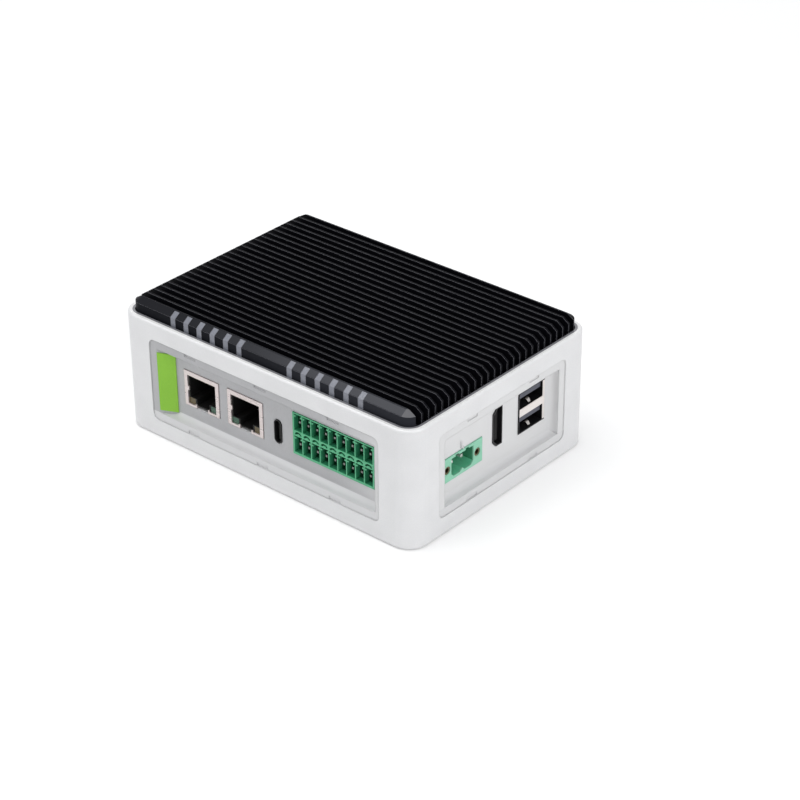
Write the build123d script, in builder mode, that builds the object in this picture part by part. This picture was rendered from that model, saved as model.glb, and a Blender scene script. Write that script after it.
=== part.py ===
from build123d import *
import os

os.makedirs("parts", exist_ok=True)

# Overall size, with the feet
body_length = 130.0
body_width = 93.0
body_height = 49.5
foot_stand = 0.5
fit_gap = 0.3                # between pieces that slide into each other
socket_gap = 0.1             # between a socket and its cut-out
cut_margin = 1.0             # cuts start this far outside a face

# Enclosure frame: a ring with a window in each side
frame_top = 44.5
frame_wall = 2.5
frame_radius = 7.2
frame_top_fillet = 0.85
frame_foot_fillet = 0.4
post_size = 8.4              # square post in each inner corner
post_fillet = 2.0
window_bottom = 6.7
window_height = 31.4
front_window_margin = 13.7   # from the ends of the body to the window
side_window_margin = 13.5
window_radius = 2.5

# Fasteners
screw_hole = 3.4
screw_shank = 2.6
tapped_bore = 3.2
thread_end = 0.4             # left between a blind bore and the fin gaps
small_bore = 2.8
board_screw = (7.0, 2.6, 5.5, 2.0)     # length, shank, head, head height
module_screw = (4.0, 2.2, 4.2, 1.5)
indicator_screw = (3.6, 2.2, 4.2, 1.5)
head_rounding = 0.4          # shares of the head height and of the head width
cross_recess = (0.55, 0.14)
cross_depth = 0.5
countersink_radius = 3.2
case_head_radius = 2.9
case_head_height = 1.4
case_head_sink = 0.1
case_head_taper = 45.0       # degrees
hex_recess_radius = 1.0
hex_recess_depth = 1.0

# Base plate and feet
base_thickness = 2.0
foot_diameter = 10.0
foot_thickness = 1.3
foot_chamfer = 0.3
foot_reach = (51.0, 27.0)
bracket_reach = (37.5, 25.0)
bracket_hole = 3.3
vent_slot = (22.0, 2.0)
vent_pitch = 5.0
vent_count = 7

# Heat sink
sink_underside = 40.3
fin_root = 43.0
fin_count = 26
fin_thickness = 0.8
fin_reach = 41.2             # from the middle to the outermost fin
bevel_drop = 1.7
bevel_inset = 2.5
thermal_block_size = 30.0
thermal_block_radius = 3.0
pad_thickness = 1.0
pad_margin = 0.5

# Window inserts
rim_recess = 0.3
rim_width = 3.2
pocket_depth = 3.2
insert_floor = 1.5
insert_gap = 0.2
flange_lap = 1.5
pocket_fillet = 2.0
ramp_run = 6.9               # slanted end wall that carries the label
terminal_end_rim = 1.9
notch_size = (5.0, 1.2)
notch_depth = 0.3
front_notches = (-32.0, 0.0, 32.0)
side_notches = (-16.0, 16.0)
connector_stand = 0.3        # connector faces in front of the pocket floor
gusset_size = (1.1, 2.8, 0.6)
gusset_lift = 0.8
gusset_shift = -0.4

# Stopped aerial holes in the rear panel
plug_reach = 30.0
plug_height = 24.0
plug_hole = 6.8
plug_shank = 6.2
plug_cap = 9.0
plug_cap_thickness = 1.2
plug_rounding = 0.5

# Label plate on the ramp
label_start = 0.2
label_end_gap = 0.7
label_margin = 1.3
label_thickness = 0.4

# Boards
board_top = 15.9
board_thickness = 1.6
standoff_clearance = 1.6     # from the corner posts, beyond a screw head
standoff_width = 5.5

# Network sockets: width, height, depth
network_size = (16.1, 13.4, 21.0)
network_centers = (-30.3, -10.1)
network_side_wall = 1.5
network_top_wall = 1.6
network_foot_wall = 0.8
network_back_wall = 0.9
network_plug = (11.9, 8.5)
network_latch = (5.8, 2.2)
network_notch = (5.3, 3.0)
network_tab = (0.6, 0.6)     # beside the notch
network_spring = (0.6, 1.6)  # on the left edge
network_tab_depth = 0.5
network_lamp = (2.9, 2.2)
network_lamp_reach = 6.0
network_lip = 0.6
network_reach = 13.0
contact_pitch = 1.27
contact_count = 8
contact_width = 0.4
contact_thickness = 0.35
contact_run = 9.0
contact_drop = 3.2
contact_foot = 0.6

# Service socket, standing upright
service_center = 4.7
service_size = (3.3, 8.9, 9.5)
service_wall = 0.35
service_floor = 2.0
service_stand = 1.0
service_tongue = (0.7, 6.6)
service_tongue_inset = 1.0
service_base = (4.6, 8.0)
service_base_inset = 4.0

# Terminal header, two rows
terminal_pitch = 3.81
terminal_count = 9
terminal_center = 29.1
terminal_size = (35.1, 15.7, 12.0)
terminal_foot_wall = 0.8
terminal_top_wall = 0.4
cell_wall = 0.4
cell_height = 6.2
cell_depth = 9.0
key_size = (0.7, 0.6)
key_drop = 0.9
key_inset = 0.1
row_slot_reach = 1.1         # arched slot between the rows: half span, rise, width, depth
row_slot_rise = 0.5
row_slot_width = 0.7
row_slot_depth = 4.0
pin_width = 1.0
terminal_pin = 0.8
terminal_pin_inset = 1.0
terminal_pin_drop = 0.2

# Power header
power_center = -17.4
power_pitch = 5.08
power_size = (20.3, 8.9, 12.0)
power_pocket = (11.2, 6.9, 8.5)
power_corner = 1.2           # bevels of the lower corners of the pocket
power_ridge = (2.4, 1.1)     # on the floor between the pins
power_key = (1.8, 0.6)
power_pin_inset = 2.4
power_screw_reach = 1.5      # in pitches
insert_hole = 3.0
insert_diameter = 2.8
insert_bore = 1.8
insert_depth = 6.0
insert_sink = 0.2

# Display socket, standing upright
display_center = 0.8
display_size = (4.8, 14.5, 11.0)
display_chamfer = 1.9
display_wall = 0.4
display_floor = 2.5
display_stand = 1.8
display_tongue = (1.4, 11.0)
display_tongue_shift = 0.2
display_tongue_inset = 1.0
display_base = (7.0, 6.0)
display_base_inset = 7.5

# Twin socket
twin_center = 18.9
twin_size = (13.8, 15.6, 17.5)
twin_wall = 0.4
twin_port = (12.5, 5.95)
twin_port_shift = -0.3       # the far side wall is the thicker one
twin_reach = 12.0
twin_stand = 0.7
twin_tongue = (11.1, 1.9)
twin_tongue_lift = 1.5
twin_tongue_inset = 0.8
twin_contact = (1.0, 0.3)
twin_contact_inset = 2.0
twin_contact_outer = 3.5
twin_contact_inner = 1.0
twin_base = (13.5, 12.8)
twin_base_inset = 10.25

# Compute module
module_center = (-8.0, 9.0)
module_size = (55.0, 40.0, 1.2)
module_radius = 3.0
module_stand = 3.0
module_hole_inset = 3.5
module_spacer = 4.6
module_connector = (22.0, 4.2)
module_connector_reach = 12.0
processor_size = (15.0, 15.0, 2.4)
processor_chamfer = 0.4
memory_size = (10.0, 14.5, 1.0)
memory_reach = 17.0

# Light guides and indicator board
guide_count = 6
guide_pitch = 6.1
guide_first = 11.2
guide_width = 2.1
guide_depth = 1.2
guide_skin = 0.7
guide_cover = 0.88           # share of the bevel under the guide
guide_gap = 0.05
guide_bar_top = 41.6
guide_bar_reach = 5.2
indicator_board_top = 39.3
indicator_board_size = (94.0, 13.0, 1.0)
indicator_boss = 6.0
indicator_screw_inset = 9.5
indicator_bore_end = 0.6
indicator_lamp = (1.6, 0.8, 0.7)
indicator_lamp_inset = 1.6

# Clock cell and power supply
cell_end_gap = 15.7          # from the board's end to the holder
cell_rear_gap = 2.7
cell_holder_size = (24.0, 23.0, 4.6)
cell_holder_radius = 3.0
cell_holder_floor = 1.2
cell_diameter = 20.0
cell_thickness = 3.2
can_rounding = 0.6
capacitor_size = (8.0, 10.0)
capacitor_inset = 21.7       # from the board's end
capacitor_rows = (-20.0, -9.5, 1.0)
coil_shift = (-11.5, -1.0)   # from the first capacitor
coil_size = (10.0, 10.0, 4.5)
coil_radius = 1.5

# Values worked out from the sizes above
half_length = body_length / 2
half_width = body_width / 2
frame_bottom = foot_stand
base_top = frame_bottom + base_thickness
inner_length = body_length - 2 * frame_wall
inner_width = body_width - 2 * frame_wall
inner_radius = frame_radius - frame_wall
post_x = half_length - frame_wall - post_size / 2
post_y = half_width - frame_wall - post_size / 2
window_middle = window_bottom + window_height / 2
board_bottom = board_top - board_thickness
insert_back = rim_recess + pocket_depth + insert_floor
face_depth = rim_recess + pocket_depth - connector_stand
board_edge_x = half_length - insert_back - fit_gap
board_edge_y = half_width - insert_back - fit_gap
front_window_length = body_length - 2 * front_window_margin
side_window_length = body_width - 2 * side_window_margin
post_face_x = post_x - post_size / 2
post_face_y = post_y - post_size / 2
board_notch = (board_edge_x - post_face_x + fit_gap, board_edge_y - post_face_y + fit_gap)
standoff_edge = board_screw[2] / 2 + standoff_clearance
standoff_reach = (post_face_x - standoff_edge, post_face_y - standoff_clearance)
sink_length = inner_length - 2 * fit_gap
sink_width = inner_width - 2 * fit_gap
sink_front = sink_width / 2
fin_pitch = 2 * fin_reach / (fin_count - 1)
module_bottom = board_top + module_stand
module_top = module_bottom + module_size[2]
thermal_block_bottom = module_top + processor_size[2] + pad_thickness

# A view plane for each side: X runs along the side, Y runs up, Z points outward
front_face = Plane(origin=(0, -half_width, 0), x_dir=(1, 0, 0), z_dir=(0, -1, 0))
right_face = Plane(origin=(half_length, 0, 0), x_dir=(0, 1, 0), z_dir=(1, 0, 0))
left_face = Plane(origin=(-half_length, 0, 0), x_dir=(0, -1, 0), z_dir=(-1, 0, 0))
rear_face = Plane(origin=(0, half_width, 0), x_dir=(-1, 0, 0), z_dir=(0, 1, 0))


def save(part, label):
    part.label = label
    export_step(part, f"parts/{label}.step")


def plan_plane(face, height):
    # seen from above: X runs along the side, Y runs inward from the outer face
    return Plane(origin=face.origin + Vector(0, 0, height), x_dir=face.x_dir, z_dir=(0, 0, 1))


# Enclosure frame
with BuildPart() as enclosure_frame:
    with BuildSketch(Plane.XY.offset(frame_bottom)):
        RectangleRounded(body_length, body_width, frame_radius)
    extrude(amount=frame_top - frame_bottom)
    top_rim = enclosure_frame.faces().sort_by(Axis.Z)[-1].edges()
    fillet(top_rim, radius=frame_top_fillet)
    foot_rim = enclosure_frame.faces().sort_by(Axis.Z)[0].edges()
    fillet(foot_rim, radius=frame_foot_fillet)
    with BuildSketch(Plane.XY.offset(frame_bottom)):
        RectangleRounded(inner_length, inner_width, inner_radius)
    extrude(amount=frame_top - frame_bottom, mode=Mode.SUBTRACT)
    with BuildSketch(Plane.XY.offset(base_top)):
        with GridLocations(2 * post_x, 2 * post_y, 2, 2):
            Rectangle(post_size, post_size)
    extrude(amount=sink_underside - base_top)
    post_edges = enclosure_frame.edges().filter_by(Axis.Z).filter_by(
        lambda e: abs(abs(e.center().X) - post_face_x) < fit_gap
        and abs(abs(e.center().Y) - post_face_y) < fit_gap)
    fillet(post_edges, radius=post_fillet)
    with BuildSketch(Plane.XY.offset(base_top)):
        with GridLocations(2 * post_x, 2 * post_y, 2, 2):
            Circle(screw_hole / 2)
    extrude(amount=sink_underside - base_top, mode=Mode.SUBTRACT)
    for face, length in ((front_face, front_window_length), (rear_face, front_window_length),
                         (right_face, side_window_length), (left_face, side_window_length)):
        with BuildSketch(face):
            with Locations((0, window_middle)):
                RectangleRounded(length, window_height, window_radius)
        extrude(amount=-(frame_wall + fit_gap), mode=Mode.SUBTRACT)
save(enclosure_frame.part, "enclosure_frame")


# Base plate with foot seats, bracket holes, countersinks and vents
with BuildPart() as base_plate:
    with BuildSketch(Plane.XY.offset(frame_bottom)):
        RectangleRounded(inner_length - 2 * fit_gap, inner_width - 2 * fit_gap, inner_radius - fit_gap)
    extrude(amount=base_thickness)
    with BuildSketch(Plane.XY.offset(frame_bottom)):
        with GridLocations(2 * foot_reach[0], 2 * foot_reach[1], 2, 2):
            Circle(foot_diameter / 2 + fit_gap)
    extrude(amount=foot_thickness - foot_stand, mode=Mode.SUBTRACT)
    with BuildSketch(Plane.XY.offset(frame_bottom)):
        with GridLocations(2 * bracket_reach[0], 2 * bracket_reach[1], 2, 2):
            Circle(bracket_hole / 2)
        with GridLocations(0, vent_pitch, 1, vent_count):
            SlotOverall(*vent_slot)
    extrude(amount=base_thickness, mode=Mode.SUBTRACT)
    with Locations(Plane(origin=(0, 0, frame_bottom), x_dir=(1, 0, 0), z_dir=(0, 0, -1))):
        with GridLocations(2 * post_x, 2 * post_y, 2, 2):
            CounterSinkHole(screw_hole / 2, countersink_radius, depth=base_thickness)
save(base_plate.part, "base_plate")

with BuildPart() as rubber_feet:
    with BuildSketch(Plane.XY):
        with GridLocations(2 * foot_reach[0], 2 * foot_reach[1], 2, 2):
            Circle(foot_diameter / 2)
    extrude(amount=foot_thickness)
    chamfer(rubber_feet.faces().group_by(Axis.Z)[0].edges(), length=foot_chamfer)
save(rubber_feet.part, "rubber_feet")


# Section of one light guide finger, across the front edge of the heat sink
bevel_length = Vector(bevel_inset, bevel_drop).length
skin_inward = guide_skin * bevel_drop / bevel_length
skin_down = guide_skin * bevel_inset / bevel_length
guide_tip_y = -sink_front + guide_cover * bevel_inset
guide_tip_z = body_height - (1 - guide_cover) * bevel_drop
guide_section = [(-sink_front, guide_bar_top),
                 (-sink_front, body_height - bevel_drop),
                 (guide_tip_y, guide_tip_z),
                 (guide_tip_y + skin_inward, guide_tip_z - skin_down),
                 (-sink_front + guide_depth, body_height - bevel_drop - guide_skin / 2),
                 (-sink_front + guide_depth, guide_bar_top)]
guide_group_middle = guide_first + guide_pitch * (guide_count - 1) / 2
guide_bar_length = guide_pitch * (guide_count - 1) + 2 * guide_width
guide_bar_middle = -sink_front + guide_bar_reach / 2
indicator_screw_y = -sink_front + indicator_screw_inset
indicator_points = [(-guide_group_middle, indicator_screw_y), (guide_group_middle, indicator_screw_y)]


def finger_places(side):
    return [side * (guide_first + index * guide_pitch) for index in range(guide_count)]


# Heat sink: bevelled block with fin gaps, light guide slots and blind screw bores
with BuildPart() as heat_sink:
    with BuildSketch(Plane.XY.offset(sink_underside)):
        RectangleRounded(sink_length, sink_width, inner_radius - fit_gap)
    extrude(amount=body_height - sink_underside)
    crown = heat_sink.faces().sort_by(Axis.Z)[-1]
    chamfer(crown.edges(), length=bevel_inset, length2=bevel_drop, reference=crown)
    with BuildSketch(Plane.XY.offset(fin_root)):
        with GridLocations(0, fin_pitch, 1, fin_count - 1):
            Rectangle(sink_length, fin_pitch - fin_thickness)
    extrude(amount=body_height - fin_root, mode=Mode.SUBTRACT)
    for finger_x in finger_places(-1) + finger_places(1):
        with BuildSketch(Plane.YZ.offset(finger_x - guide_width / 2 - guide_gap)):
            Polygon(*guide_section, align=None)
        extrude(amount=guide_width + 2 * guide_gap, mode=Mode.SUBTRACT)
    with BuildSketch(Plane.XY.offset(sink_underside)):
        with Locations((-guide_group_middle, guide_bar_middle), (guide_group_middle, guide_bar_middle)):
            Rectangle(guide_bar_length + 2 * fit_gap, guide_bar_reach + 2 * fit_gap)
    extrude(amount=guide_bar_top - sink_underside, mode=Mode.SUBTRACT)
    with BuildSketch(Plane.XY.offset(indicator_board_top)):
        with Locations(*indicator_points):
            Circle(indicator_boss / 2)
    extrude(amount=sink_underside - indicator_board_top)
    with BuildSketch(Plane.XY.offset(indicator_board_top)):
        with Locations(*indicator_points):
            Circle(small_bore / 2)
    extrude(amount=fin_root - indicator_bore_end - indicator_board_top, mode=Mode.SUBTRACT)
    with BuildSketch(Plane.XY.offset(sink_underside)):
        with GridLocations(2 * post_x, 2 * post_y, 2, 2):
            Circle(tapped_bore / 2)
    extrude(amount=fin_root - thread_end - sink_underside, mode=Mode.SUBTRACT)
save(heat_sink.part, "heat_sink")

# Block under the heat sink that reaches down to the processor
with BuildPart() as thermal_block:
    with BuildSketch(Plane.XY.offset(thermal_block_bottom)):
        with Locations(module_center):
            RectangleRounded(thermal_block_size, thermal_block_size, thermal_block_radius)
    extrude(amount=sink_underside - thermal_block_bottom)
save(thermal_block.part, "thermal_block")


# Light guides: six fingers on one bar, in two groups
def light_guides(side):
    with BuildPart() as guides:
        with BuildSketch(Plane.XY.offset(sink_underside)):
            with Locations((side * guide_group_middle, guide_bar_middle)):
                Rectangle(guide_bar_length, guide_bar_reach)
        extrude(amount=guide_bar_top - sink_underside)
        for finger_x in finger_places(side):
            with BuildSketch(Plane.YZ.offset(finger_x - guide_width / 2)):
                Polygon(*guide_section, align=None)
            extrude(amount=guide_width)
    return guides.part


save(light_guides(-1), "light_guides_left")
save(light_guides(1), "light_guides_right")


# Window inserts: a flange behind the wall, a plug in the window and a pocket
def window_insert(face, length, notches, near_rim=rim_width, far_rim=rim_width, ramp=0.0):
    left = -length / 2 + near_rim
    right = length / 2 - far_rim
    floor = rim_recess + pocket_depth
    corners = [(left, -cut_margin), (right, -cut_margin), (right, floor), (left + ramp, floor)]
    if ramp:
        corners.append((left, rim_recess))
    with BuildPart() as pocket:
        with BuildSketch(plan_plane(face, window_bottom + rim_width)):
            Polygon(*corners, align=None)
        extrude(amount=window_height - 2 * rim_width)
        floor_face = pocket.faces().sort_by(lambda f: (f.center() - face.origin).dot(face.z_dir))[0]
        fillet(floor_face.edges(), radius=pocket_fillet)
    with BuildPart() as insert:
        with BuildSketch(face.offset(-insert_back)):
            with Locations((0, window_middle)):
                RectangleRounded(length + 2 * flange_lap, window_height + 2 * flange_lap, window_radius)
        extrude(amount=insert_back - frame_wall)
        with BuildSketch(face.offset(-frame_wall)):
            with Locations((0, window_middle)):
                RectangleRounded(length - 2 * insert_gap, window_height - 2 * insert_gap,
                                 window_radius - insert_gap)
        extrude(amount=frame_wall - rim_recess)
        add(pocket.part, mode=Mode.SUBTRACT)
        notch_reach = window_height / 2 - insert_gap - notch_size[1] / 2
        with BuildSketch(face.offset(-rim_recess)):
            for x in notches:
                with Locations((x, window_middle - notch_reach), (x, window_middle + notch_reach)):
                    Rectangle(*notch_size)
        extrude(amount=-notch_depth, mode=Mode.SUBTRACT)
    return insert.part


def display_outline(grow):
    with BuildSketch() as outline:
        Rectangle(display_size[0] + 2 * grow, display_size[1] + 2 * grow)
        chamfer(outline.vertices().group_by(Axis.X)[0], length=display_chamfer)
    return outline.sketch


network_middle = board_top + network_size[1] / 2
service_middle = board_top + service_stand + service_size[1] / 2
terminal_middle = board_top + terminal_size[1] / 2
power_middle = board_top + power_size[1] / 2
display_middle = board_top + display_stand + display_size[1] / 2
twin_middle = board_top + twin_stand + twin_size[1] / 2

with BuildPart() as front_panel:
    add(window_insert(front_face, front_window_length, front_notches,
                      far_rim=terminal_end_rim, ramp=ramp_run))
    with BuildSketch(front_face):
        for x in network_centers:
            with Locations((x, network_middle)):
                Rectangle(network_size[0] + 2 * socket_gap, network_size[1] + 2 * socket_gap)
        with Locations((service_center, service_middle)):
            SlotOverall(service_size[1] + 2 * socket_gap, service_size[0] + 2 * socket_gap, rotation=90)
        with Locations((terminal_center, terminal_middle)):
            Rectangle(terminal_size[0] + 2 * socket_gap, terminal_size[1] + 2 * socket_gap)
    extrude(amount=-insert_back, mode=Mode.SUBTRACT)
save(front_panel.part, "front_panel")

# Right panel, with a small gusset above the power header
pocket_floor_x = half_length - rim_recess - pocket_depth
gusset_y = power_center + gusset_shift
gusset_bottom = power_middle + power_size[1] / 2 + gusset_lift

with BuildPart() as right_panel:
    add(window_insert(right_face, side_window_length, side_notches))
    with BuildSketch(right_face):
        with Locations((power_center, power_middle)):
            Rectangle(power_size[0] + 2 * socket_gap, power_size[1] + 2 * socket_gap)
        with Locations((display_center, display_middle)):
            add(display_outline(socket_gap))
        with Locations((twin_center, twin_middle)):
            Rectangle(twin_size[0] + 2 * socket_gap, twin_size[1] + 2 * socket_gap)
    extrude(amount=-insert_back, mode=Mode.SUBTRACT)
    with BuildSketch(Plane.XZ.offset(-gusset_y - gusset_size[2] / 2)):
        Polygon((pocket_floor_x, gusset_bottom), (pocket_floor_x + gusset_size[0], gusset_bottom),
                (pocket_floor_x, gusset_bottom + gusset_size[1]), align=None)
    extrude(amount=gusset_size[2])
save(right_panel.part, "right_panel")

save(window_insert(left_face, side_window_length, side_notches), "left_panel")


# Rear panel with two stopped aerial holes
plug_points = [(-plug_reach, plug_height), (plug_reach, plug_height)]

with BuildPart() as rear_panel:
    add(window_insert(rear_face, front_window_length, front_notches))
    with BuildSketch(rear_face):
        with Locations(*plug_points):
            Circle(plug_hole / 2)
    extrude(amount=-insert_back, mode=Mode.SUBTRACT)
save(rear_panel.part, "rear_panel")

with BuildPart() as aerial_plugs:
    with BuildSketch(rear_face.offset(-insert_back)):
        with Locations(*plug_points):
            Circle(plug_shank / 2)
    extrude(amount=insert_floor)
    with BuildSketch(rear_face.offset(-insert_back + insert_floor)):
        with Locations(*plug_points):
            Circle(plug_cap / 2)
    extrude(amount=plug_cap_thickness)
    fillet(aerial_plugs.faces().group_by(Axis.Y)[-1].edges(), radius=plug_rounding)
save(aerial_plugs.part, "aerial_plugs")


# Label plate, flat on the ramp
ramp_left = -front_window_length / 2 + rim_width
ramp_vector = Vector(ramp_run, pocket_depth, 0)
ramp_plane = Plane(origin=(ramp_left, -half_width + rim_recess, window_middle), x_dir=ramp_vector,
                   z_dir=Vector(pocket_depth, -ramp_run, 0))
label_length = ramp_vector.length - label_start - label_end_gap
with BuildPart() as label_plate:
    with BuildSketch(ramp_plane):
        with Locations((label_start + label_length / 2, 0)):
            Rectangle(label_length, window_height - 2 * rim_width - 2 * label_margin)
    extrude(amount=label_thickness)
save(label_plate.part, "label_plate")


# Main board on hexagonal standoffs
with BuildPart() as main_board:
    with BuildSketch(Plane.XY.offset(board_bottom)):
        Rectangle(2 * board_edge_x, 2 * board_edge_y)
        with GridLocations(2 * board_edge_x - board_notch[0], 2 * board_edge_y - board_notch[1], 2, 2):
            Rectangle(board_notch[0], board_notch[1], mode=Mode.SUBTRACT)
        with GridLocations(2 * standoff_reach[0], 2 * standoff_reach[1], 2, 2):
            Circle(screw_hole / 2, mode=Mode.SUBTRACT)
    extrude(amount=board_thickness)
save(main_board.part, "main_board")

with BuildPart() as board_standoffs:
    with BuildSketch(Plane.XY.offset(base_top)):
        with GridLocations(2 * standoff_reach[0], 2 * standoff_reach[1], 2, 2):
            RegularPolygon(standoff_width / 2, 6, major_radius=False)
            Circle(tapped_bore / 2, mode=Mode.SUBTRACT)
    extrude(amount=board_bottom - base_top)
save(board_standoffs.part, "board_standoffs")


def pan_head_screws(points, seat, screw, up=True):
    # heads rest on the seat; up means that the head is above it
    length, shank, head, head_height = screw
    direction = 1 if up else -1
    with BuildPart() as screws:
        with BuildSketch(Plane.XY.offset(seat)):
            with Locations(*points):
                Circle(shank / 2)
        extrude(amount=-direction * length)
        with BuildSketch(Plane.XY.offset(seat)):
            with Locations(*points):
                Circle(head / 2)
        extrude(amount=direction * head_height)
        rim = screws.faces().group_by(Axis.Z)[-1 if up else 0].edges()
        fillet(rim, radius=head_height * head_rounding)
        with BuildSketch(Plane.XY.offset(seat + direction * head_height)):
            with Locations(*points):
                Rectangle(head * cross_recess[0], head * cross_recess[1])
                Rectangle(head * cross_recess[1], head * cross_recess[0])
        extrude(amount=-direction * head_height * cross_depth, mode=Mode.SUBTRACT)
    return screws.part


standoff_points = [(x, y) for x in (-standoff_reach[0], standoff_reach[0])
                   for y in (-standoff_reach[1], standoff_reach[1])]
save(pan_head_screws(standoff_points, board_top, board_screw), "board_screws")


# Long case screws: countersunk heads below, ends in the heat sink
head_bottom = frame_bottom + case_head_sink
case_screw_tip = fin_root - fit_gap - thread_end
with BuildPart() as case_screws:
    with BuildSketch(Plane.XY.offset(head_bottom)):
        with GridLocations(2 * post_x, 2 * post_y, 2, 2):
            Circle(screw_shank / 2)
    extrude(amount=case_screw_tip - head_bottom)
    with BuildSketch(Plane.XY.offset(head_bottom)):
        with GridLocations(2 * post_x, 2 * post_y, 2, 2):
            Circle(case_head_radius)
    extrude(amount=case_head_height, taper=case_head_taper)
    with BuildSketch(Plane.XY.offset(head_bottom)):
        with GridLocations(2 * post_x, 2 * post_y, 2, 2):
            RegularPolygon(hex_recess_radius, 6)
    extrude(amount=hex_recess_depth, mode=Mode.SUBTRACT)
save(case_screws.part, "case_screws")


# Network sockets: shield, insert, contacts and lamps
network_front = -half_width + face_depth
network_inner = (network_size[0] - 2 * network_side_wall,
                 network_size[1] - network_top_wall - network_foot_wall)
network_sill = board_top + network_foot_wall
network_inner_middle = network_sill + network_inner[1] / 2
network_plug_top = network_sill + network_inner[1]
network_plug_middle = network_plug_top - network_plug[1] / 2
network_latch_middle = network_plug_top - network_plug[1] - network_latch[1] / 2
network_tab_reach = network_notch[0] / 2 + network_tab[0] / 2
lamp_reach = network_inner[0] / 2 - network_lamp[0] / 2
lamp_middle = network_sill + network_lamp[1] / 2


def network_shield(center):
    spring_x = center - network_inner[0] / 2 + network_spring[0] / 2
    tab_z = network_sill + network_tab[1] / 2
    with BuildPart() as shield:
        with BuildSketch(front_face.offset(-face_depth)):
            with Locations((center, network_middle)):
                Rectangle(network_size[0], network_size[1])
        extrude(amount=-network_size[2])
        with BuildSketch(front_face.offset(-face_depth)):
            with Locations((center, network_inner_middle)):
                Rectangle(*network_inner)
        extrude(amount=-(network_size[2] - network_back_wall), mode=Mode.SUBTRACT)
        with BuildSketch(front_face.offset(-face_depth)):
            with Locations((center, board_top + network_foot_wall / 2)):
                Rectangle(network_notch[0], network_foot_wall)
        extrude(amount=-network_notch[1], mode=Mode.SUBTRACT)
        with BuildSketch(front_face.offset(-face_depth)):
            with Locations((center - network_tab_reach, tab_z), (center + network_tab_reach, tab_z)):
                Rectangle(*network_tab)
            with Locations((spring_x, network_middle)):
                Rectangle(*network_spring)
        extrude(amount=-network_tab_depth)
    return shield.part


def network_insert(center):
    with BuildPart() as insert:
        with BuildSketch(front_face.offset(-face_depth - network_lip)):
            with Locations((center, network_inner_middle)):
                Rectangle(*network_inner)
        extrude(amount=-(network_size[2] - network_back_wall - network_lip))
        with BuildSketch(front_face.offset(-face_depth - network_lip)):
            with Locations((center, network_plug_middle)):
                Rectangle(*network_plug)
            with Locations((center, network_latch_middle)):
                Rectangle(*network_latch)
        extrude(amount=-network_reach, mode=Mode.SUBTRACT)
        with BuildSketch(front_face.offset(-face_depth - network_lip)):
            with Locations((center - lamp_reach, lamp_middle), (center + lamp_reach, lamp_middle)):
                Rectangle(*network_lamp)
        extrude(amount=-network_lamp_reach, mode=Mode.SUBTRACT)
    return insert.part


def network_contacts(center):
    # each contact starts on the ceiling and springs down towards the rear
    back = network_front + network_lip + network_reach
    top = network_plug_top
    with BuildPart() as contacts:
        for index in range(contact_count):
            x = center + (index - (contact_count - 1) / 2) * contact_pitch
            with BuildSketch(Plane.YZ.offset(x - contact_width / 2)):
                Polygon((back, top), (back - contact_run, top),
                        (back - contact_run, top - contact_thickness),
                        (back - contact_foot, top - contact_drop), (back, top - contact_drop),
                        align=None)
            extrude(amount=contact_width)
    return contacts.part


for center, side in zip(network_centers, ("left", "right")):
    save(network_shield(center), f"network_shield_{side}")
    save(network_insert(center), f"network_insert_{side}")
    save(network_contacts(center), f"network_contacts_{side}")

amber_lamps = (network_centers[0] - lamp_reach, network_centers[1] + lamp_reach)
green_lamps = (network_centers[0] + lamp_reach, network_centers[1] - lamp_reach)
for colour, columns in (("amber", amber_lamps), ("green", green_lamps)):
    with BuildPart() as lamps:
        with BuildSketch(front_face.offset(-face_depth - network_lip)):
            with Locations(*[(x, lamp_middle) for x in columns]):
                Rectangle(*network_lamp)
        extrude(amount=-network_lamp_reach)
    save(lamps.part, f"network_lamps_{colour}")


# Service socket: shell, tongue and base
with BuildPart() as service_shell:
    with BuildSketch(front_face.offset(-face_depth)):
        with Locations((service_center, service_middle)):
            SlotOverall(service_size[1], service_size[0], rotation=90)
    extrude(amount=-service_size[2])
    with BuildSketch(front_face.offset(-face_depth)):
        with Locations((service_center, service_middle)):
            SlotOverall(service_size[1] - 2 * service_wall, service_size[0] - 2 * service_wall, rotation=90)
    extrude(amount=-(service_size[2] - service_floor), mode=Mode.SUBTRACT)
save(service_shell.part, "service_shell")

with BuildPart() as service_tongue_part:
    with BuildSketch(front_face.offset(-face_depth - service_tongue_inset)):
        with Locations((service_center, service_middle)):
            Rectangle(*service_tongue)
    extrude(amount=-(service_size[2] - service_floor - service_tongue_inset))
save(service_tongue_part.part, "service_tongue")

with BuildPart() as service_base_part:
    with BuildSketch(Plane.XY.offset(board_top)):
        with Locations((service_center, network_front + service_base_inset + service_base[1] / 2)):
            Rectangle(*service_base)
    extrude(amount=service_stand)
save(service_base_part.part, "service_base")


# Terminal header: two rows of keyed cells
lower_cell = board_top + terminal_foot_wall + cell_height / 2
upper_cell = board_top + terminal_size[1] - terminal_top_wall - cell_height / 2
slot_middle = (lower_cell + upper_cell) / 2
cell_width = terminal_pitch - cell_wall
key_reach = cell_width / 2 - key_size[0] / 2
cell_columns = [terminal_center + (i - (terminal_count - 1) / 2) * terminal_pitch
                for i in range(terminal_count)]
row_arch = ThreePointArc((-row_slot_reach, -row_slot_rise / 2), (0, row_slot_rise / 2),
                         (row_slot_reach, -row_slot_rise / 2))

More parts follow.
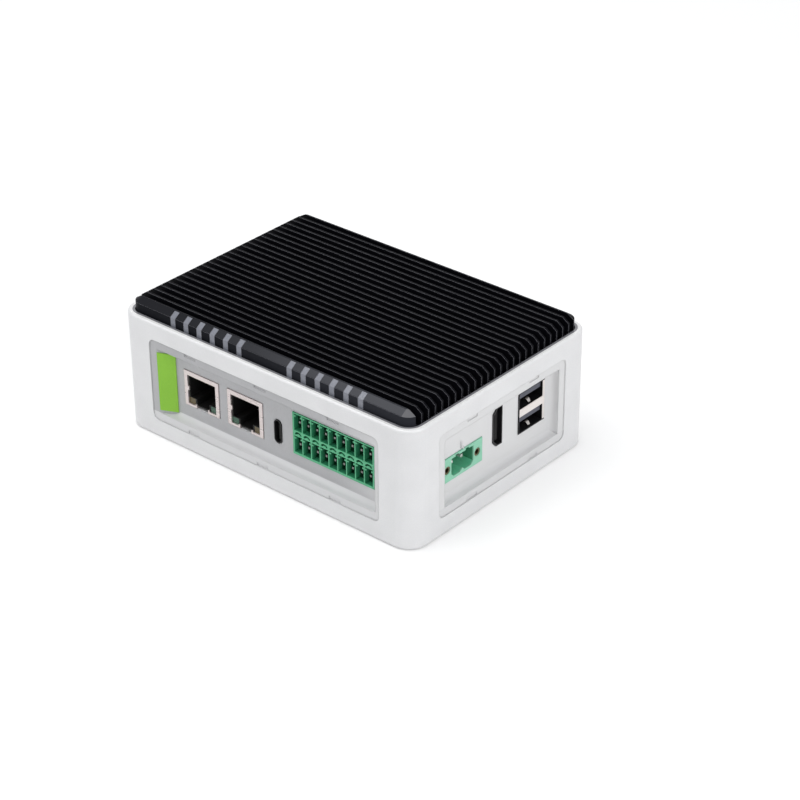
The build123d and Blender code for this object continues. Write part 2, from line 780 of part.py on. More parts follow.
with BuildPart() as terminal_block:
    with BuildSketch(front_face.offset(-face_depth)):
        with Locations((terminal_center, terminal_middle)):
            Rectangle(terminal_size[0], terminal_size[1])
    extrude(amount=-terminal_size[2])
    with BuildSketch(front_face.offset(-face_depth)):
        for x in cell_columns:
            with Locations((x, lower_cell), (x, upper_cell)):
                Rectangle(cell_width, cell_height)
    extrude(amount=-cell_depth, mode=Mode.SUBTRACT)
    with BuildSketch(front_face.offset(-face_depth)):
        for x in cell_columns:
            with Locations((x, slot_middle)):
                SlotArc(row_arch, row_slot_width)
    extrude(amount=-row_slot_depth, mode=Mode.SUBTRACT)
    with BuildSketch(front_face.offset(-face_depth - key_inset)):
        for x in cell_columns:
            for z in (lower_cell, upper_cell):
                key_z = z + cell_height / 2 - key_drop
                with Locations((x - key_reach, key_z), (x + key_reach, key_z)):
                    Rectangle(*key_size)
    extrude(amount=-(cell_depth - key_inset))
save(terminal_block.part, "terminal_block")

with BuildPart() as terminal_pins:
    with BuildSketch(front_face.offset(-face_depth - terminal_pin_inset)):
        for x in cell_columns:
            for z in (lower_cell, upper_cell):
                with Locations((x, z - terminal_pin_drop)):
                    Rectangle(terminal_pin, terminal_pin)
    extrude(amount=-(cell_depth - terminal_pin_inset))
save(terminal_pins.part, "terminal_pins")


# Power header: flanged body, pocket with a floor ridge and two key notches above
pocket_bottom = power_middle - power_pocket[1] / 2
pocket_top = power_middle + power_pocket[1] / 2
power_columns = (power_center - power_pitch / 2, power_center + power_pitch / 2)
screw_offset = power_screw_reach * power_pitch
screw_points = [(power_center - screw_offset, power_middle), (power_center + screw_offset, power_middle)]

with BuildPart() as power_header:
    with BuildSketch(right_face.offset(-face_depth)):
        with Locations((power_center, power_middle)):
            Rectangle(power_size[0], power_size[1])
    extrude(amount=-power_size[2])
    with BuildSketch(right_face.offset(-face_depth)) as pocket_outline:
        with Locations((power_center, power_middle)):
            Rectangle(power_pocket[0], power_pocket[1])
        chamfer(pocket_outline.vertices().group_by(Axis.Y)[0], length=power_corner)
        Polygon((power_center - power_ridge[0] / 2, pocket_bottom),
                (power_center + power_ridge[0] / 2, pocket_bottom),
                (power_center, pocket_bottom + power_ridge[1]), align=None, mode=Mode.SUBTRACT)
        with Locations(*[(y, pocket_top) for y in power_columns]):
            Rectangle(power_key[0], 2 * power_key[1])
    extrude(amount=-power_pocket[2], mode=Mode.SUBTRACT)
    with BuildSketch(right_face.offset(-face_depth)):
        with Locations(*screw_points):
            Circle(insert_hole / 2)
    extrude(amount=-insert_depth, mode=Mode.SUBTRACT)
save(power_header.part, "power_header")

with BuildPart() as power_pins:
    with BuildSketch(right_face.offset(-face_depth - power_pin_inset)):
        with Locations(*[(y, power_middle) for y in power_columns]):
            Rectangle(pin_width, pin_width)
    extrude(amount=-(power_pocket[2] - power_pin_inset))
save(power_pins.part, "power_pins")

with BuildPart() as power_inserts:
    with BuildSketch(right_face.offset(-face_depth - insert_sink)):
        with Locations(*screw_points):
            Circle(insert_diameter / 2)
            Circle(insert_bore / 2, mode=Mode.SUBTRACT)
    extrude(amount=-(insert_depth - insert_sink))
save(power_inserts.part, "power_inserts")


# Display socket: shell, tongue and base
with BuildPart() as display_shell:
    with BuildSketch(right_face.offset(-face_depth)):
        with Locations((display_center, display_middle)):
            add(display_outline(0))
    extrude(amount=-display_size[2])
    with BuildSketch(right_face.offset(-face_depth)):
        with Locations((display_center, display_middle)):
            add(display_outline(-display_wall))
    extrude(amount=-(display_size[2] - display_floor), mode=Mode.SUBTRACT)
save(display_shell.part, "display_shell")

with BuildPart() as display_tongue_part:
    with BuildSketch(right_face.offset(-face_depth - display_tongue_inset)):
        with Locations((display_center + display_tongue_shift, display_middle)):
            Rectangle(*display_tongue)
    extrude(amount=-(display_size[2] - display_floor - display_tongue_inset))
save(display_tongue_part.part, "display_tongue")

with BuildPart() as display_base_part:
    with BuildSketch(Plane.XY.offset(board_top)):
        with Locations((half_length - face_depth - display_base_inset, display_center)):
            Rectangle(*display_base)
    extrude(amount=display_stand)
save(display_base_part.part, "display_base")


# Twin socket: shield, two tongues, contacts and base
twin_port_reach = twin_size[1] / 2 - twin_wall - twin_port[1] / 2
twin_ports = (twin_middle - twin_port_reach, twin_middle + twin_port_reach)
twin_contact_drop = twin_tongue[1] / 2 + twin_contact[1] / 2

with BuildPart() as twin_shield:
    with BuildSketch(right_face.offset(-face_depth)):
        with Locations((twin_center, twin_middle)):
            Rectangle(twin_size[0], twin_size[1])
    extrude(amount=-twin_size[2])
    with BuildSketch(right_face.offset(-face_depth)):
        for z in twin_ports:
            with Locations((twin_center + twin_port_shift, z)):
                Rectangle(*twin_port)
    extrude(amount=-twin_reach, mode=Mode.SUBTRACT)
save(twin_shield.part, "twin_shield")

with BuildPart() as twin_tongues:
    with BuildSketch(right_face.offset(-face_depth - twin_tongue_inset)):
        for z in twin_ports:
            with Locations((twin_center, z + twin_tongue_lift)):
                Rectangle(*twin_tongue)
    extrude(amount=-(twin_reach - twin_tongue_inset))
save(twin_tongues.part, "twin_tongues")

with BuildPart() as twin_contacts:
    with BuildSketch(right_face.offset(-face_depth - twin_contact_inset)):
        for z in twin_ports:
            for reach in (twin_contact_outer, twin_contact_inner):
                with Locations((twin_center, z + twin_tongue_lift - twin_contact_drop)):
                    with GridLocations(2 * reach, 0, 2, 1):
                        Rectangle(*twin_contact)
    extrude(amount=-(twin_reach - twin_contact_inset))
save(twin_contacts.part, "twin_contacts")

with BuildPart() as twin_base_part:
    with BuildSketch(Plane.XY.offset(board_top)):
        with Locations((half_length - face_depth - twin_base_inset, twin_center)):
            Rectangle(*twin_base)
    extrude(amount=twin_stand)
save(twin_base_part.part, "twin_base")


# Compute module on its connectors, with processor, memory and thermal pad
module_hole_reach = (module_size[0] / 2 - module_hole_inset, module_size[1] / 2 - module_hole_inset)
module_points = [(module_center[0] + x, module_center[1] + y)
                 for x in (-module_hole_reach[0], module_hole_reach[0])
                 for y in (-module_hole_reach[1], module_hole_reach[1])]

with BuildPart() as compute_module:
    with BuildSketch(Plane.XY.offset(module_bottom)):
        with Locations(module_center):
            RectangleRounded(module_size[0], module_size[1], module_radius)
        with Locations(*module_points):
            Circle(small_bore / 2, mode=Mode.SUBTRACT)
    extrude(amount=module_size[2])
save(compute_module.part, "compute_module")

with BuildPart() as module_connectors:
    with BuildSketch(Plane.XY.offset(board_top)):
        with Locations((module_center[0], module_center[1] - module_connector_reach),
                       (module_center[0], module_center[1] + module_connector_reach)):
            Rectangle(*module_connector)
    extrude(amount=module_stand)
save(module_connectors.part, "module_connectors")

with BuildPart() as module_spacers:
    with BuildSketch(Plane.XY.offset(board_top)):
        with Locations(*module_points):
            Circle(module_spacer / 2)
            Circle(small_bore / 2, mode=Mode.SUBTRACT)
    extrude(amount=module_stand)
save(module_spacers.part, "module_spacers")
save(pan_head_screws(module_points, module_top, module_screw), "module_screws")

with BuildPart() as processor:
    with BuildSketch(Plane.XY.offset(module_top)):
        with Locations(module_center):
            Rectangle(processor_size[0], processor_size[1])
    extrude(amount=processor_size[2])
    chamfer(processor.faces().sort_by(Axis.Z)[-1].edges(), length=processor_chamfer)
save(processor.part, "processor")

with BuildPart() as memory_chips:
    with BuildSketch(Plane.XY.offset(module_top)):
        with Locations((module_center[0] - memory_reach, module_center[1]),
                       (module_center[0] + memory_reach, module_center[1])):
            Rectangle(memory_size[0], memory_size[1])
    extrude(amount=memory_size[2])
save(memory_chips.part, "memory_chips")

with BuildPart() as thermal_pad:
    with BuildSketch(Plane.XY.offset(module_top + processor_size[2])):
        with Locations(module_center):
            Rectangle(processor_size[0] - 2 * pad_margin, processor_size[1] - 2 * pad_margin)
    extrude(amount=pad_thickness)
save(thermal_pad.part, "thermal_pad")


# Indicator board under the light guides
indicator_board_bottom = indicator_board_top - indicator_board_size[2]
with BuildPart() as indicator_board:
    with BuildSketch(Plane.XY.offset(indicator_board_bottom)):
        with Locations((0, -board_edge_y + indicator_board_size[1] / 2)):
            Rectangle(indicator_board_size[0], indicator_board_size[1])
        with Locations(*indicator_points):
            Circle(small_bore / 2, mode=Mode.SUBTRACT)
    extrude(amount=indicator_board_size[2])
save(indicator_board.part, "indicator_board")

with BuildPart() as indicator_lamps:
    with BuildSketch(Plane.XY.offset(indicator_board_top)):
        with Locations(*[(x, -board_edge_y + indicator_lamp_inset)
                         for x in finger_places(-1) + finger_places(1)]):
            Rectangle(indicator_lamp[0], indicator_lamp[1])
    extrude(amount=indicator_lamp[2])
save(indicator_lamps.part, "indicator_lamps")
save(pan_head_screws(indicator_points, indicator_board_bottom, indicator_screw, up=False),
     "indicator_screws")


# Clock cell in its holder, and the parts of the power supply
cell_center = (board_edge_x - cell_end_gap - cell_holder_size[0] / 2,
               board_edge_y - cell_rear_gap - cell_holder_size[1] / 2)
capacitor_x = board_edge_x - capacitor_inset
coil_center = (capacitor_x + coil_shift[0], capacitor_rows[0] + coil_shift[1])

with BuildPart() as cell_holder:
    with BuildSketch(Plane.XY.offset(board_top)):
        with Locations(cell_center):
            RectangleRounded(cell_holder_size[0], cell_holder_size[1], cell_holder_radius)
    extrude(amount=cell_holder_size[2])
    with BuildSketch(Plane.XY.offset(board_top + cell_holder_floor)):
        with Locations(cell_center):
            Circle(cell_diameter / 2 + fit_gap)
    extrude(amount=cell_holder_size[2] - cell_holder_floor, mode=Mode.SUBTRACT)
save(cell_holder.part, "cell_holder")

with BuildPart() as clock_cell:
    with BuildSketch(Plane.XY.offset(board_top + cell_holder_floor)):
        with Locations(cell_center):
            Circle(cell_diameter / 2)
    extrude(amount=cell_thickness)
    fillet(clock_cell.faces().sort_by(Axis.Z)[-1].edges(), radius=can_rounding)
save(clock_cell.part, "clock_cell")

with BuildPart() as capacitors:
    with BuildSketch(Plane.XY.offset(board_top)):
        with Locations(*[(capacitor_x, y) for y in capacitor_rows]):
            Circle(capacitor_size[0] / 2)
    extrude(amount=capacitor_size[1])
    fillet(capacitors.faces().group_by(Axis.Z)[-1].edges(), radius=can_rounding)
save(capacitors.part, "capacitors")

with BuildPart() as power_coil:
    with BuildSketch(Plane.XY.offset(board_top)):
        with Locations(coil_center):
            RectangleRounded(coil_size[0], coil_size[1], coil_radius)
    extrude(amount=coil_size[2])
save(power_coil.part, "power_coil")
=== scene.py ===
import math
import bmesh
import bpy
from mathutils import Matrix, Vector


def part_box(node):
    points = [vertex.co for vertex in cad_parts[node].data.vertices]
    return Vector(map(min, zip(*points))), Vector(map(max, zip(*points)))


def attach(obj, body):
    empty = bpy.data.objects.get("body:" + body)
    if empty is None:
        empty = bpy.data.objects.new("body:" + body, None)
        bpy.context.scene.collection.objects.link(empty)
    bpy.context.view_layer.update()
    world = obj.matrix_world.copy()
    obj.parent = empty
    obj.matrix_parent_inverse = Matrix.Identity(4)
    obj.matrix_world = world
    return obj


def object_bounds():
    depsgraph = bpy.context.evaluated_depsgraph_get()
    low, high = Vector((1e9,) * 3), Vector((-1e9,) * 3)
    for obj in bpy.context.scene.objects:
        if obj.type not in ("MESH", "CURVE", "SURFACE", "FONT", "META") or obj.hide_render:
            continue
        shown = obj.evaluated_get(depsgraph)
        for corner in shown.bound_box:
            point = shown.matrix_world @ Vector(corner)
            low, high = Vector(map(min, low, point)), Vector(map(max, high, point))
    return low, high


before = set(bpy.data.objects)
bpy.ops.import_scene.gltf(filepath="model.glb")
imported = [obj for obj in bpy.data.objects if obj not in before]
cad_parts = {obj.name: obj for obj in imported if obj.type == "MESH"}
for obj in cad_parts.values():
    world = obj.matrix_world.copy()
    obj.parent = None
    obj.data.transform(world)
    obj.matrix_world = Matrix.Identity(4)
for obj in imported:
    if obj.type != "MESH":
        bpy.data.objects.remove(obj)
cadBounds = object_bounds()
print("frame loaded, nodes:", len(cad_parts))


# camera at the viewing angle of the photograph, sizes in metres
cameraSettings = {
    "place": (0.45966, -0.51090, 0.41427),
    "target": (0.010032, 0.012191, 0.010468),
    "roll": -0.412,          # degrees
    "lens": 104.227,         # millimetres, like the sensor's width
    "sensor": 36.0,
    "clipStart": 0.01,
}


def addCamera(settings):
    place = Vector(settings["place"])
    forward = (Vector(settings["target"]) - place).normalized()
    right = forward.cross(Vector((0, 0, 1))).normalized()
    up = right.cross(forward)
    turn = math.radians(settings["roll"])
    side = right * math.cos(turn) + up * math.sin(turn)
    top = up * math.cos(turn) - right * math.sin(turn)
    data = bpy.data.cameras.new("mainCamera")
    data.lens = settings["lens"]
    data.sensor_width = settings["sensor"]
    data.clip_start = settings["clipStart"]
    camera = bpy.data.objects.new("mainCamera", data)
    turned = Matrix((side, top, -forward)).transposed().to_4x4()
    camera.matrix_world = Matrix.Translation(place) @ turned
    bpy.context.collection.objects.link(camera)
    bpy.context.scene.camera = camera


addCamera(cameraSettings)
bpy.context.scene.view_settings.view_transform = "Standard"
print("camera set")


# studio: soft lamps, even surroundings and a pale floor
studioSettings = {
    "surroundings": (0.50, 0.505, 0.51),
    "floorSize": 3.0,
    "floorColour": (0.9, 0.9, 0.9),
    "floorRough": 0.95,
    "floorShine": 0.1,
    "floorLift": (0.19, 0.34),   # brings the seen floor to white, near and far
    "floorReach": (0.3, 1.2),    # near and far, from the floor's middle
    "lamps": [
        # name, place, size, watts
        ("topLamp", (-0.25, -0.15, 1.1), 1.0, 6.0),
        ("rightLamp", (1.1, -0.1, 0.55), 0.8, 4.1),
        ("leftLamp", (-0.5, -1.1, 0.6), 0.8, 1.4),
    ],
}


def addLamp(name, place, size, watts):
    data = bpy.data.lights.new(name, "AREA")
    data.shape = "SQUARE"
    data.size = size
    data.energy = watts
    lamp = bpy.data.objects.new(name, data)
    lamp.location = place
    lamp.rotation_euler = (-Vector(place)).to_track_quat("-Z", "Y").to_euler()
    bpy.context.collection.objects.link(lamp)


def putIn(tree, socket, value):
    # links a socket, or sets a fixed value
    if isinstance(value, bpy.types.NodeSocket):
        tree.links.new(value, socket)
    else:
        socket.default_value = value


def mathStep(tree, operation, *values):
    step = tree.nodes.new("ShaderNodeMath")
    step.operation = operation
    for socket, value in zip(step.inputs, values):
        putIn(tree, socket, value)
    return step.outputs[0]


def rangeStep(tree, value, before, after=(0, 1), smooth=False):
    # turns the range before into the range after
    step = tree.nodes.new("ShaderNodeMapRange")
    step.interpolation_type = "SMOOTHSTEP" if smooth else "LINEAR"
    step.inputs["From Min"].default_value = before[0]
    step.inputs["From Max"].default_value = before[1]
    step.inputs["To Min"].default_value = after[0]
    step.inputs["To Max"].default_value = after[1]
    tree.links.new(value, step.inputs["Value"])
    return step.outputs["Result"]


def mixIn(tree, kind, factor, plain, special):
    mix = tree.nodes.new("ShaderNodeMix")
    mix.data_type = kind
    sockets = {socket.name: socket for socket in mix.inputs if socket.enabled}
    for name, value in (("Factor", factor), ("A", plain), ("B", special)):
        putIn(tree, sockets[name], value)
    return next(socket for socket in mix.outputs if socket.enabled)


def seenDirectly(tree):
    # 1 for rays that show the backdrop: camera, mirror and glass rays
    path = tree.nodes.new("ShaderNodeLightPath")
    seen = path.outputs["Is Camera Ray"]
    for ray in ("Is Glossy Ray", "Is Transmission Ray"):
        seen = mathStep(tree, "MAXIMUM", seen, path.outputs[ray])
    return seen


def lightSurroundings(settings):
    # even light, seen as white where it shows
    world = bpy.data.worlds.new("surroundings")
    bpy.context.scene.world = world
    world.use_nodes = True
    tree = world.node_tree
    tone = mixIn(tree, "RGBA", seenDirectly(tree), (*settings["surroundings"], 1), (1, 1, 1, 1))
    tree.links.new(tone, tree.nodes["Background"].inputs["Color"])


def makeFloorPaper(settings):
    material = bpy.data.materials.new("floorPaper")
    material.use_nodes = True
    tree = material.node_tree
    shader = tree.nodes["Principled BSDF"]
    shader.inputs["Base Color"].default_value = (*settings["floorColour"], 1)
    shader.inputs["Roughness"].default_value = settings["floorRough"]
    shader.inputs["Specular IOR Level"].default_value = settings["floorShine"]
    shader.inputs["Emission Color"].default_value = (1, 1, 1, 1)
    coords = tree.nodes.new("ShaderNodeTexCoord")
    distance = tree.nodes.new("ShaderNodeVectorMath")
    distance.operation = "LENGTH"
    tree.links.new(coords.outputs["Object"], distance.inputs[0])
    strength = rangeStep(tree, distance.outputs["Value"], settings["floorReach"],
                         settings["floorLift"])
    lift = mathStep(tree, "MULTIPLY", seenDirectly(tree), strength)
    tree.links.new(lift, shader.inputs["Emission Strength"])
    return material


def addFloor(settings):
    half = settings["floorSize"] / 2
    corners = [(-half, -half, 0), (half, -half, 0), (half, half, 0), (-half, half, 0)]
    mesh = bpy.data.meshes.new("floor")
    mesh.from_pydata(corners, [], [(0, 1, 2, 3)])
    mesh.materials.append(makeFloorPaper(settings))
    floor = bpy.data.objects.new("floor", mesh)
    bpy.context.collection.objects.link(floor)


for lampRow in studioSettings["lamps"]:
    addLamp(*lampRow)
lightSurroundings(studioSettings)
addFloor(studioSettings)
print("studio built")


# what every finish shares
finishSettings = {
    "detail": 4.0,           # of the grain
    "cloud": 90.0,           # scale of the large patches
    "share": 0.5,            # of the grain, and of the patches
    "ramp": (0.3, 0.7),      # from the dark colour to the light one
    "reliefDepth": 0.00004,
    "edgeSamples": 4,
    "milkReach": 0.002,
}

# shader sockets that a look may set, and their plain values
shaderSockets = {
    "metal": ("Metallic", 0.0),
    "shine": ("Specular IOR Level", 0.5),
    "coat": ("Coat Weight", 0.0),
    "coatRough": ("Coat Roughness", 0.1),
    "milk": ("Subsurface Weight", 0.0),
}


# a finish: two close colours over a grain, uneven gloss, fine relief and softened edges
def makeFinish(name, look, settings=finishSettings):
    material = bpy.data.materials.new(name)
    material.use_nodes = True
    tree = material.node_tree
    shader = tree.nodes["Principled BSDF"]
    coords = tree.nodes.new("ShaderNodeTexCoord")
    mapping = tree.nodes.new("ShaderNodeMapping")
    mapping.inputs["Scale"].default_value = look.get("stretch", (1, 1, 1))
    tree.links.new(coords.outputs["Object"], mapping.inputs["Vector"])
    grain = tree.nodes.new("ShaderNodeTexNoise")
    grain.inputs["Scale"].default_value = look["grain"]
    grain.inputs["Detail"].default_value = settings["detail"]
    tree.links.new(mapping.outputs["Vector"], grain.inputs["Vector"])
    cloud = tree.nodes.new("ShaderNodeTexNoise")
    cloud.inputs["Scale"].default_value = settings["cloud"]
    tree.links.new(coords.outputs["Object"], cloud.inputs["Vector"])
    patches = mathStep(tree, "MULTIPLY", cloud.outputs["Fac"], settings["share"])
    both = mathStep(tree, "MULTIPLY_ADD", grain.outputs["Fac"], settings["share"], patches)
    ramp = tree.nodes.new("ShaderNodeValToRGB")
    tones = (look["dark"], look["light"])
    for stop, position, tone in zip(ramp.color_ramp.elements, settings["ramp"], tones):
        stop.position = position
        stop.color = (*tone, 1)
    tree.links.new(both, ramp.inputs["Fac"])
    colour = ramp.outputs["Color"]
    roughness = rangeStep(tree, both, (0, 1), look["rough"])
    # painted light and shade: the fade along the length and the regions by place and facing
    if "fade" in look:
        colour = fadeAlong(tree, coords, look["fade"], colour)
    for region in look.get("regions", []):
        chosen = regionMask(tree, coords, region)
        tone = (*region["colour"], 1)
        if "fade" in region:
            tone = fadeAlong(tree, coords, region["fade"], tone)
        colour = mixIn(tree, "RGBA", chosen, colour, tone)
        roughness = mixIn(tree, "FLOAT", chosen, roughness, region["rough"])
    # painted highlight along edges that face one side
    if "paintedEdgeLine" in look:
        edgeLineShare = paintedEdgeMask(tree, look["paintedEdgeLine"])
        colour = mixIn(tree, "RGBA", edgeLineShare, colour, (*look["paintedEdgeLine"]["colour"], 1))
    tree.links.new(colour, shader.inputs["Base Color"])
    tree.links.new(roughness, shader.inputs["Roughness"])
    bump = tree.nodes.new("ShaderNodeBump")
    bump.inputs["Strength"].default_value = look["relief"]
    bump.inputs["Distance"].default_value = settings["reliefDepth"]
    tree.links.new(grain.outputs["Fac"], bump.inputs["Height"])
    if "edge" in look:
        edge = tree.nodes.new("ShaderNodeBevel")
        edge.samples = settings["edgeSamples"]
        edge.inputs["Radius"].default_value = look["edge"]
        tree.links.new(edge.outputs["Normal"], bump.inputs["Normal"])
    tree.links.new(bump.outputs["Normal"], shader.inputs["Normal"])
    for key, (socket, plain) in shaderSockets.items():
        shader.inputs[socket].default_value = look.get(key, plain)
    shader.inputs["Subsurface Radius"].default_value = [settings["milkReach"]] * 3
    return material


def regionMask(tree, coords, region):
    # 1 inside the ranges of place (metres) and of upward facing that the region gives
    place = tree.nodes.new("ShaderNodeSeparateXYZ")
    facing = tree.nodes.new("ShaderNodeSeparateXYZ")
    tree.links.new(coords.outputs["Object"], place.inputs[0])
    tree.links.new(coords.outputs["Normal"], facing.inputs[0])
    measures = {"x": place.outputs["X"], "y": place.outputs["Y"], "z": place.outputs["Z"],
                "facing": facing.outputs["Z"]}
    tests = []
    for key, measure in measures.items():
        if key in region:
            low, high = region[key]
            middle, reach = (low + high) / 2, (high - low) / 2
            tests.append(mathStep(tree, "COMPARE", measure, middle, reach))
    if "ring" in region:
        tests.append(ringMask(tree, coords, region["ring"]))
    result = tests[0]
    for test in tests[1:]:
        result = mathStep(tree, "MULTIPLY", result, test)
    return result


def ringMask(tree, coords, ring):
    # 1 inside a rounded rectangle: half length, half width, corner radius
    halfLength, halfWidth, radius = ring
    steps = (("ABSOLUTE", None), ("SUBTRACT", (halfLength - radius, halfWidth - radius, 0)),
             ("MAXIMUM", (0, 0, 0)), ("MULTIPLY", (1, 1, 0)), ("LENGTH", None))
    value = coords.outputs["Object"]
    for operation, numbers in steps:
        step = tree.nodes.new("ShaderNodeVectorMath")
        step.operation = operation
        tree.links.new(value, step.inputs[0])
        if numbers:
            step.inputs[1].default_value = numbers
        value = step.outputs["Value" if operation == "LENGTH" else "Vector"]
    return mathStep(tree, "LESS_THAN", value, radius)


def fadeAlong(tree, coords, fade, colour):
    # a second colour that comes in along the length
    place = tree.nodes.new("ShaderNodeSeparateXYZ")
    tree.links.new(coords.outputs["Object"], place.inputs[0])
    span = (fade["start"], fade["end"])
    share = rangeStep(tree, place.outputs["X"], span, smooth=True)
    return mixIn(tree, "RGBA", share, colour, (*fade["colour"], 1))


def dotProduct(tree, first, second):
    dot = tree.nodes.new("ShaderNodeVectorMath")
    dot.operation = "DOT_PRODUCT"
    putIn(tree, dot.inputs[0], first)
    putIn(tree, dot.inputs[1], second)
    return dot.outputs["Value"]


def paintedEdgeMask(tree, paintedEdgeLine):
    # painted highlight mask: 1 along the edges, where the rounded normal leaves the flat one
    rounded = tree.nodes.new("ShaderNodeBevel")
    rounded.samples = paintedEdgeLine["samples"]
    rounded.inputs["Radius"].default_value = paintedEdgeLine["radius"]
    flat = tree.nodes.new("ShaderNodeNewGeometry")
    likeness = dotProduct(tree, rounded.outputs["Normal"], flat.outputs["Normal"])
    # only the edges that face one side
    towards = dotProduct(tree, rounded.outputs["Normal"], paintedEdgeLine["side"])
    return mathStep(tree, "MULTIPLY", rangeStep(tree, likeness, paintedEdgeLine["bend"]),
                    rangeStep(tree, towards, paintedEdgeLine["turn"]))


def dress(name, look):
    material = makeFinish(name, look)
    for node in look["nodes"]:
        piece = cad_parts[node]
        if not piece.material_slots:
            piece.data.materials.append(material)
        for place in piece.material_slots:
            place.material = material


# enclosure
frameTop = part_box("enclosure_frame")[1].z
frameRadius = 0.0072         # of the upright corners
paintedHighlightStrip = 0.0016           # width of the rim's pale outer strip, a painted highlight
rimFace = {"z": (frameTop - 0.0001, frameTop + 0.0001), "facing": (0.97, 1.1)}
frameLook = {
    "nodes": ["enclosure_frame"],
    "dark": (0.76, 0.76, 0.77), "light": (0.83, 0.83, 0.84), "rough": (0.36, 0.46),
    "grain": 3500.0, "relief": 0.1, "metal": 0.12, "edge": 0.0002,
    "regions": [
        # painted highlight: the flat top of the rim is pale
        dict(rimFace, colour=(0.92, 0.92, 0.92), rough=0.3),
        # painted reflection of the dark heat sink: a darker strip along the inner edge of the rim
        dict(rimFace, colour=(0.26, 0.26, 0.28), rough=0.14,
             ring=[size - paintedHighlightStrip for size in (*cadBounds[1][:2], frameRadius)]),
    ],
}
dress("satinFrame", frameLook)

sinkLow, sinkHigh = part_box("heat_sink")
frontBar = {"y": (-0.05, sinkLow.y + 0.003)}     # 3 mm deep
crownHeights = (sinkHigh.z - 0.0016, sinkHigh.z - 0.0001)      # of the bevel round the top
slope = (0.5, 0.95)          # upward facing of a bevel
sinkLook = {
    "nodes": ["heat_sink"],
    "dark": (0.0030, 0.0030, 0.0045), "light": (0.005, 0.005, 0.0075), "rough": (0.42, 0.55),
    "grain": 2600.0, "relief": 0.2, "shine": 0.04, "edge": 0.00012,
    "regions": [
        # painted light on the front bar: lighter than the fins and lighter towards the right end; a
        # painted highlight along its bevel that grows towards the right end; a painted highlight on
        # the facet at its right corner
        dict(frontBar, colour=(0.0065, 0.0071, 0.0100), rough=0.42,
             fade={"start": -0.04, "end": 0.06, "colour": (0.024, 0.0255, 0.032)}),
        dict(frontBar, z=crownHeights, facing=slope, colour=(0.015, 0.0155, 0.019), rough=0.34,
             fade={"start": -0.05, "end": 0.055, "colour": (0.080, 0.082, 0.092)}),
        dict(frontBar, x=(0.0585, 0.07), z=(0.0425, 0.0494), facing=slope,
             colour=(0.15, 0.15, 0.16), rough=0.3),
    ],
    # painted highlight: a pale line on edges that face the front: how far the normal bends, and
    # turns to that side
    "paintedEdgeLine": {"radius": 0.0002, "samples": 6, "bend": (0.99, 0.86), "side": (0, -1, 0),
             "turn": (0.1, 0.3), "colour": (0.24, 0.24, 0.265)},
}
dress("anodisedSink", sinkLook)

flangeLap = 0.0015           # the insert's flange behind the wall
rimWidth = 0.0032            # flat rim round the pocket
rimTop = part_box("front_panel")[0].z + flangeLap + rimWidth
panelLook = {
    "nodes": ["front_panel", "right_panel", "left_panel", "rear_panel"],
    "dark": (0.43, 0.43, 0.445), "light": (0.49, 0.49, 0.505), "rough": (0.32, 0.42),
    "grain": 1800.0, "relief": 0.08, "coat": 0.25, "coatRough": 0.3, "milk": 0.25, "edge": 0.0007,
    # painted light: lighter towards +x, so the right end of the front panel and the right panel are
    # lighter where the light falls
    "fade": {"start": 0.025, "end": 0.062, "colour": (0.74, 0.74, 0.745)},
    # painted light: the lower rim and walls that face up are lighter where the light falls on them,
    # and walls that face down are lightened against their shade
    "regions": [{"z": (0.0, rimTop + 0.0001), "colour": (0.70, 0.70, 0.71), "rough": 0.36},
                {"facing": (0.35, 1.1), "colour": (0.74, 0.74, 0.75), "rough": 0.36},
                {"facing": (-1.1, -0.5), "colour": (0.88, 0.88, 0.88), "rough": 0.36}],
}
dress("frostedPanel", panelLook)

sealSettings = {
    "lap": flangeLap,
    "radius": 0.0025,        # of the window's corners
    "gap": 0.0002,           # between window and insert
    "clear": 0.00001,        # left free on each side of the seal
    "front": 0.00015,        # both depths are below the outer face
    "back": 0.0022,
    "cornerSteps": 8,
    "windows": {"Front": "front_panel", "Right": "right_panel",
                "Left": "left_panel", "Rear": "rear_panel"},
    # painted light: pale colours that paint out the shade in the gap, with the panels' painted fade
    # and regions
    "look": dict(panelLook, dark=(0.54, 0.54, 0.55), light=(0.60, 0.60, 0.61),
                 fade={"start": 0.02, "end": 0.055, "colour": (0.86, 0.86, 0.865)}),
}


def roundedOutline(halfLength, halfHeight, radius, steps):
    # corner arcs in turn, anticlockwise
    points = []
    for corner, (signX, signY) in enumerate(((1, 1), (-1, 1), (-1, -1), (1, -1))):
        for step in range(steps + 1):
            angle = math.pi / 2 * (corner + step / steps)
            points.append((signX * (halfLength - radius) + radius * math.cos(angle),
                           signY * (halfHeight - radius) + radius * math.sin(angle)))
    return points


